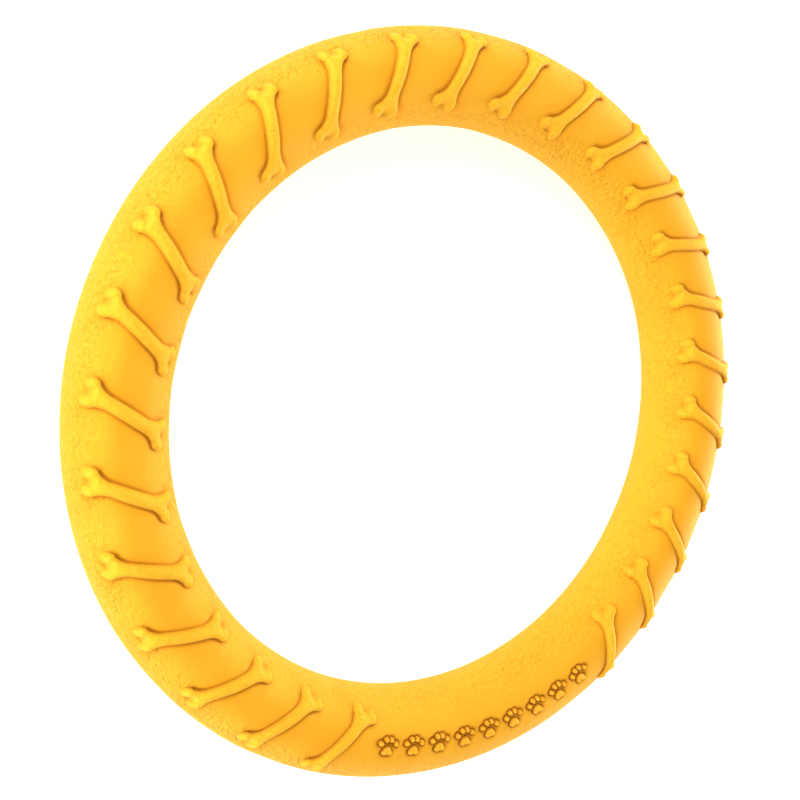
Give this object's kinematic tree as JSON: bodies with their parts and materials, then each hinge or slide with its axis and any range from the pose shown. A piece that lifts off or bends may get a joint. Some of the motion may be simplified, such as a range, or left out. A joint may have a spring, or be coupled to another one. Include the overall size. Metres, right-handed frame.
{
  "type": "foam ring toy",
  "caption": "Round-section foam tug and throwing ring for a dog, with slanted raised bones round its face and a row of small paw prints on a plain stretch.",
  "frame": {"origin": "centre of the ring, on the surface that it lies on with its plain rear face down", "axes": "+Z along the ring's axis, out of the face with the bones; -Y to the middle of the plain stretch with the paw prints; +X to the right when the bones face the viewer and the paw prints are at the bottom"},
  "size_m": [0.2799, 0.28, 0.0359],
  "materials": {
    "foam": "satin, fine-grained closed-cell foam skin",
    "foam_bone": "satin, smooth closed-cell foam skin",
    "foam_paw": "satin, smooth closed-cell foam skin"
  },
  "bodies": {
    "root": {"ring_body": "foam", "bone_01": "foam_bone", "bone_02": "foam_bone", "bone_03": "foam_bone", "bone_04": "foam_bone", "bone_05": "foam_bone", "bone_06": "foam_bone", "bone_07": "foam_bone", "bone_08": "foam_bone", "bone_09": "foam_bone", "bone_10": "foam_bone", "bone_11": "foam_bone", "bone_12": "foam_bone", "bone_13": "foam_bone", "bone_14": "foam_bone", "bone_15": "foam_bone", "bone_16": "foam_bone", "bone_17": "foam_bone", "bone_18": "foam_bone", "bone_19": "foam_bone", "bone_20": "foam_bone", "bone_21": "foam_bone", "bone_22": "foam_bone", "bone_23": "foam_bone", "bone_24": "foam_bone", "bone_25": "foam_bone", "bone_26": "foam_bone", "paw_1": "foam_paw", "paw_2": "foam_paw", "paw_3": "foam_paw", "paw_4": "foam_paw", "paw_5": "foam_paw", "paw_6": "foam_paw", "paw_7": "foam_paw", "paw_8": "foam_paw", "paw_9": "foam_paw"}
  },
  "joints": []
}
